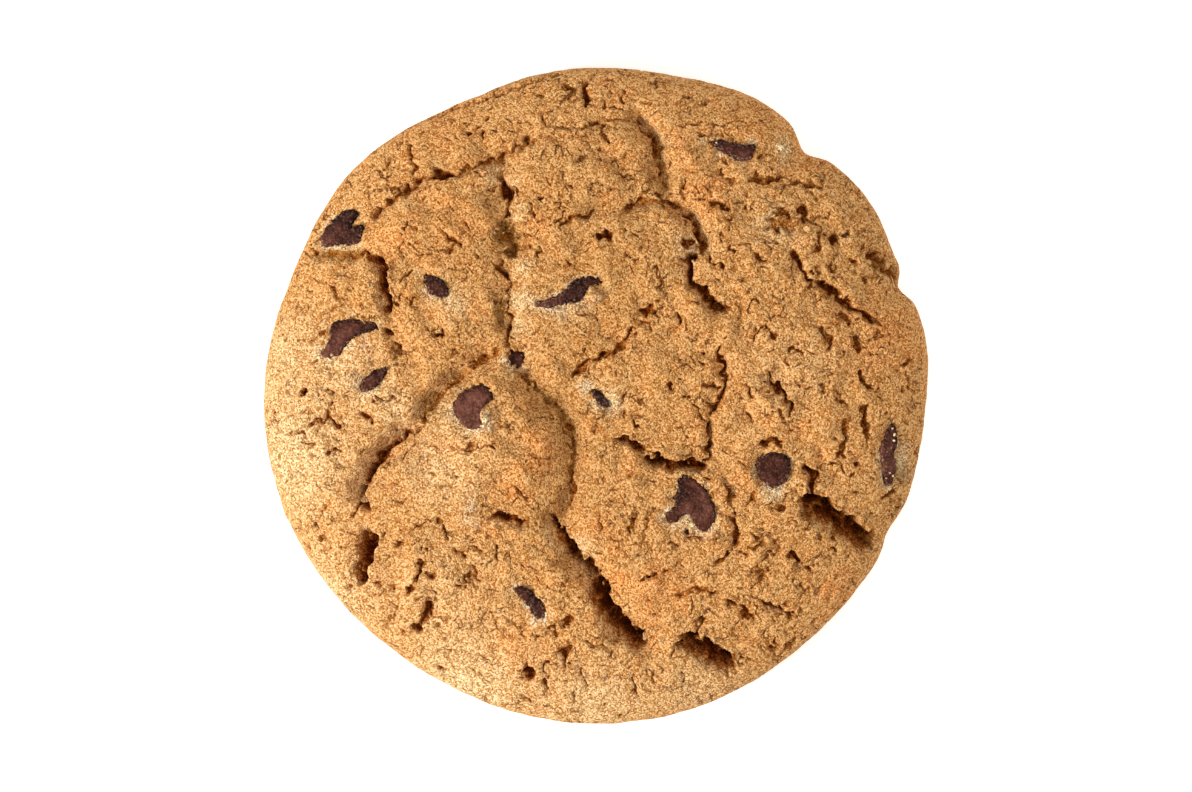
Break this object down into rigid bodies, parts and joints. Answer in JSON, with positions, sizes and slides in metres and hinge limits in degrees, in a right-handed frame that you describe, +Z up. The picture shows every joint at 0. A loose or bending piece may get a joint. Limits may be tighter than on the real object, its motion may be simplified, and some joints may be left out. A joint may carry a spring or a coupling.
{
  "type": "chocolate chip cookie",
  "caption": "Round soft-baked cookie with a domed, cracked golden-brown crust, a flat underside and chocolate chips set in its top.",
  "frame": {"origin": "middle of the flat underside, on the surface the cookie lies on", "axes": "+Z up through the crown of the cookie, +X to the right and +Y away from the viewer when the cookie is looked down on"},
  "size_m": [0.0908, 0.0898, 0.0163],
  "materials": {
    "crust": "golden-brown baked cookie crust, matt, finely cracked and crumbly, paler inside its cracks",
    "chocolate": "dark semi-sweet chocolate, satin, softened and reset in the oven"
  },
  "bodies": {
    "root": {"dough": "crust", "chip_01": "chocolate", "chip_02": "chocolate", "chip_03": "chocolate", "chip_04": "chocolate", "chip_05": "chocolate", "chip_06": "chocolate", "chip_07": "chocolate", "chip_08": "chocolate", "chip_09": "chocolate", "chip_10": "chocolate", "chip_11": "chocolate", "chip_12": "chocolate", "chip_13": "chocolate"}
  },
  "joints": []
}
